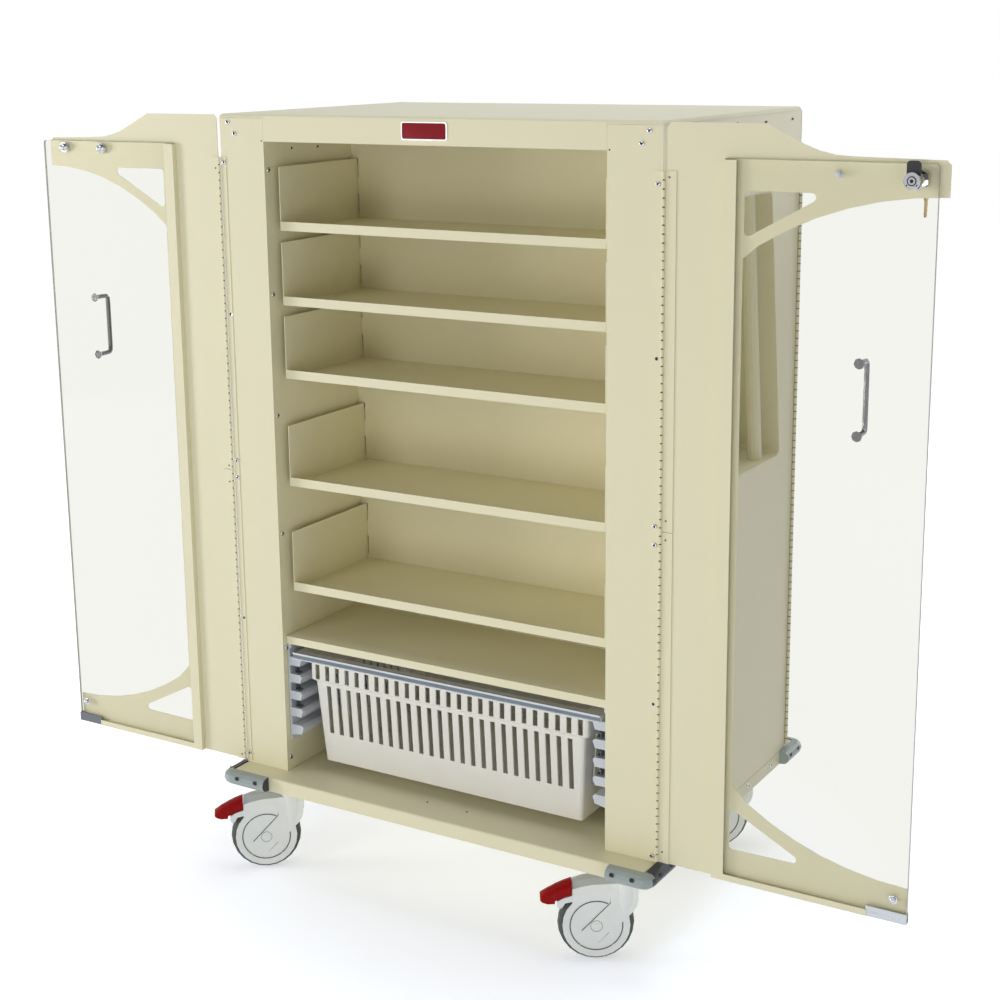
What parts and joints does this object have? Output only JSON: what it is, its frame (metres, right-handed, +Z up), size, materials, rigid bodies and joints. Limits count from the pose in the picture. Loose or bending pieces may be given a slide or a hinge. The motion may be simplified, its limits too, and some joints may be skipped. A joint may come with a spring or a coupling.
{
  "type": "suture cart",
  "caption": "Two-sided hospital storage cabinet on four braked casters, with hinged see-through doors, hung shelves and a sliding basket.",
  "frame": {"origin": "on the ground under the middle of the whole spread, front doors open", "axes": "+Z up, -Y the open front of the cart, +X to the right as seen from the front"},
  "size_m": [1.628, 0.6568, 1.3416],
  "materials": {
    "paint": "glossy beige powder coat",
    "basket": "off-white moulded plastic",
    "rail": "light grey moulded plastic",
    "bumper": "mid grey rubber",
    "clear": "clear acrylic sheet",
    "chrome": "bright chrome",
    "brass": "brass",
    "black": "black plated steel",
    "caster_grey": "light grey moulded plastic",
    "tyre": "dark grey rubber tread",
    "pedal_red": "red moulded plastic"
  },
  "bodies": {
    "cabinet": {"base_pan": "paint", "top_pan": "paint", "fixed_shelf": "paint", "front_back_panel": "paint", "rear_back_panel": "paint", "front_shelf_1": "paint", "front_shelf_2": "paint", "front_shelf_3": "paint", "front_shelf_4": "paint", "front_shelf_5": "paint", "rear_shelf_1": "paint", "rear_shelf_2": "paint", "rear_shelf_3": "paint", "rear_shelf_4": "paint", "left_side_shell": "paint", "left_inner_wall": "paint", "left_grip_pocket": "paint", "left_basket_rail": "rail", "left_grip_bar_front": "paint", "left_grip_bar_rear": "paint", "left_front_bumper": "bumper", "left_rear_bumper": "bumper", "right_side_shell": "paint", "right_inner_wall": "paint", "right_grip_pocket": "paint", "right_basket_rail": "rail", "right_grip_bar_front": "paint", "right_grip_bar_rear": "paint", "right_front_bumper": "bumper", "right_rear_bumper": "bumper"},
    "basket": {"basket": "basket"},
    "left_front_door": {"left_front_door_sheet": "paint", "left_front_door_pane": "clear", "left_front_door_handle": "chrome", "left_front_door_hinge": "paint"},
    "right_front_door": {"right_front_door_sheet": "paint", "right_front_door_pane": "clear", "right_front_door_handle": "chrome", "right_front_door_hinge": "paint", "lock_barrel": "chrome"},
    "left_rear_door": {"left_rear_door_sheet": "paint", "left_rear_door_pane": "clear", "left_rear_door_handle": "chrome"},
    "right_rear_door": {"right_rear_door_sheet": "paint", "right_rear_door_pane": "clear", "right_rear_door_handle": "chrome"},
    "lock_core": {"lock_cam": "black", "key": "brass"},
    "left_front_caster_fork": {"left_front_caster_housing": "caster_grey"},
    "left_front_caster_wheel": {"left_front_caster_wheel": "tyre"},
    "left_front_caster_pedal": {"left_front_caster_pedal": "pedal_red"},
    "left_rear_caster_fork": {"left_rear_caster_housing": "caster_grey"},
    "left_rear_caster_wheel": {"left_rear_caster_wheel": "tyre"},
    "left_rear_caster_pedal": {"left_rear_caster_pedal": "pedal_red"},
    "right_front_caster_fork": {"right_front_caster_housing": "caster_grey"},
    "right_front_caster_wheel": {"right_front_caster_wheel": "tyre"},
    "right_front_caster_pedal": {"right_front_caster_pedal": "pedal_red"},
    "right_rear_caster_fork": {"right_rear_caster_housing": "caster_grey"},
    "right_rear_caster_wheel": {"right_rear_caster_wheel": "tyre"},
    "right_rear_caster_pedal": {"right_rear_caster_pedal": "pedal_red"}
  },
  "joints": [
    {"name": "basket_slide", "type": "slide", "parent": "cabinet", "child": "basket", "axis": [0, 1, 0], "range_m": [-0.3, 0]},
    {"name": "left_front_door_swing", "type": "hinge", "parent": "cabinet", "child": "left_front_door", "pos_m": [-0.4195, -0.26975, 0.694], "axis": [0, 0, 1], "range_deg": [0, 180]},
    {"name": "right_front_door_swing", "type": "hinge", "parent": "cabinet", "child": "right_front_door", "pos_m": [0.3985, -0.26975, 0.694], "axis": [0, 0, -1], "range_deg": [0, 180]},
    {"name": "left_rear_door_swing", "type": "hinge", "parent": "cabinet", "child": "left_rear_door", "pos_m": [-0.4195, 0.26975, 0.694], "axis": [0, 0, 1], "range_deg": [0, 180]},
    {"name": "right_rear_door_swing", "type": "hinge", "parent": "cabinet", "child": "right_rear_door", "pos_m": [0.3985, 0.26975, 0.694], "axis": [0, 0, -1], "range_deg": [0, 180]},
    {"name": "lock_turn", "type": "hinge", "parent": "right_front_door", "child": "lock_core", "pos_m": [0.774, -0.29705, 1.2705], "axis": [0, 1, 0], "range_deg": [-90, 0]},
    {"name": "left_front_caster_swivel", "type": "hinge", "parent": "cabinet", "child": "left_front_caster_fork", "pos_m": [-0.3468, -0.23455, 0.16], "axis": [0, 0, 1], "continuous": true},
    {"name": "left_front_caster_roll", "type": "hinge", "parent": "left_front_caster_fork", "child": "left_front_caster_wheel", "pos_m": [-0.38338, -0.26406, 0.0625], "axis": [0.628, -0.7782, 0], "continuous": true},
    {"name": "left_front_caster_brake", "type": "hinge", "parent": "left_front_caster_fork", "child": "left_front_caster_pedal", "pos_m": [-0.41762, -0.29169, 0.1225], "axis": [0.628, -0.7782, 0], "range_deg": [0, 6]},
    {"name": "left_rear_caster_swivel", "type": "hinge", "parent": "cabinet", "child": "left_rear_caster_fork", "pos_m": [-0.3468, 0.23455, 0.16], "axis": [0, 0, 1], "continuous": true},
    {"name": "left_rear_caster_roll", "type": "hinge", "parent": "left_rear_caster_fork", "child": "left_rear_caster_wheel", "pos_m": [-0.3853, 0.20759, 0.0625], "axis": [0.5736, -0.8192, 0], "continuous": true},
    {"name": "left_rear_caster_brake", "type": "hinge", "parent": "left_rear_caster_fork", "child": "left_rear_caster_pedal", "pos_m": [-0.42134, 0.18235, 0.1225], "axis": [0.5736, -0.8192, 0], "range_deg": [0, 6]},
    {"name": "right_front_caster_swivel", "type": "hinge", "parent": "cabinet", "child": "right_front_caster_fork", "pos_m": [0.3258, -0.23455, 0.16], "axis": [0, 0, 1], "continuous": true},
    {"name": "right_front_caster_roll", "type": "hinge", "parent": "right_front_caster_fork", "child": "right_front_caster_wheel", "pos_m": [0.28568, -0.25904, 0.0625], "axis": [0.521, -0.8536, 0], "continuous": true},
    {"name": "right_front_caster_brake", "type": "hinge", "parent": "right_front_caster_fork", "child": "right_front_caster_pedal", "pos_m": [0.24813, -0.28196, 0.1225], "axis": [0.521, -0.8536, 0], "range_deg": [0, 6]},
    {"name": "right_rear_caster_swivel", "type": "hinge", "parent": "cabinet", "child": "right_rear_caster_fork", "pos_m": [0.3258, 0.23455, 0.16], "axis": [0, 0, 1], "continuous": true},
    {"name": "right_rear_caster_roll", "type": "hinge", "parent": "right_rear_caster_fork", "child": "right_rear_caster_wheel", "pos_m": [0.28638, 0.20895, 0.0625], "axis": [0.5446, -0.8387, 0], "continuous": true},
    {"name": "right_rear_caster_brake", "type": "hinge", "parent": "right_rear_caster_fork", "child": "right_rear_caster_pedal", "pos_m": [0.24948, 0.18499, 0.1225], "axis": [0.5446, -0.8387, 0], "range_deg": [0, 6]}
  ]
}
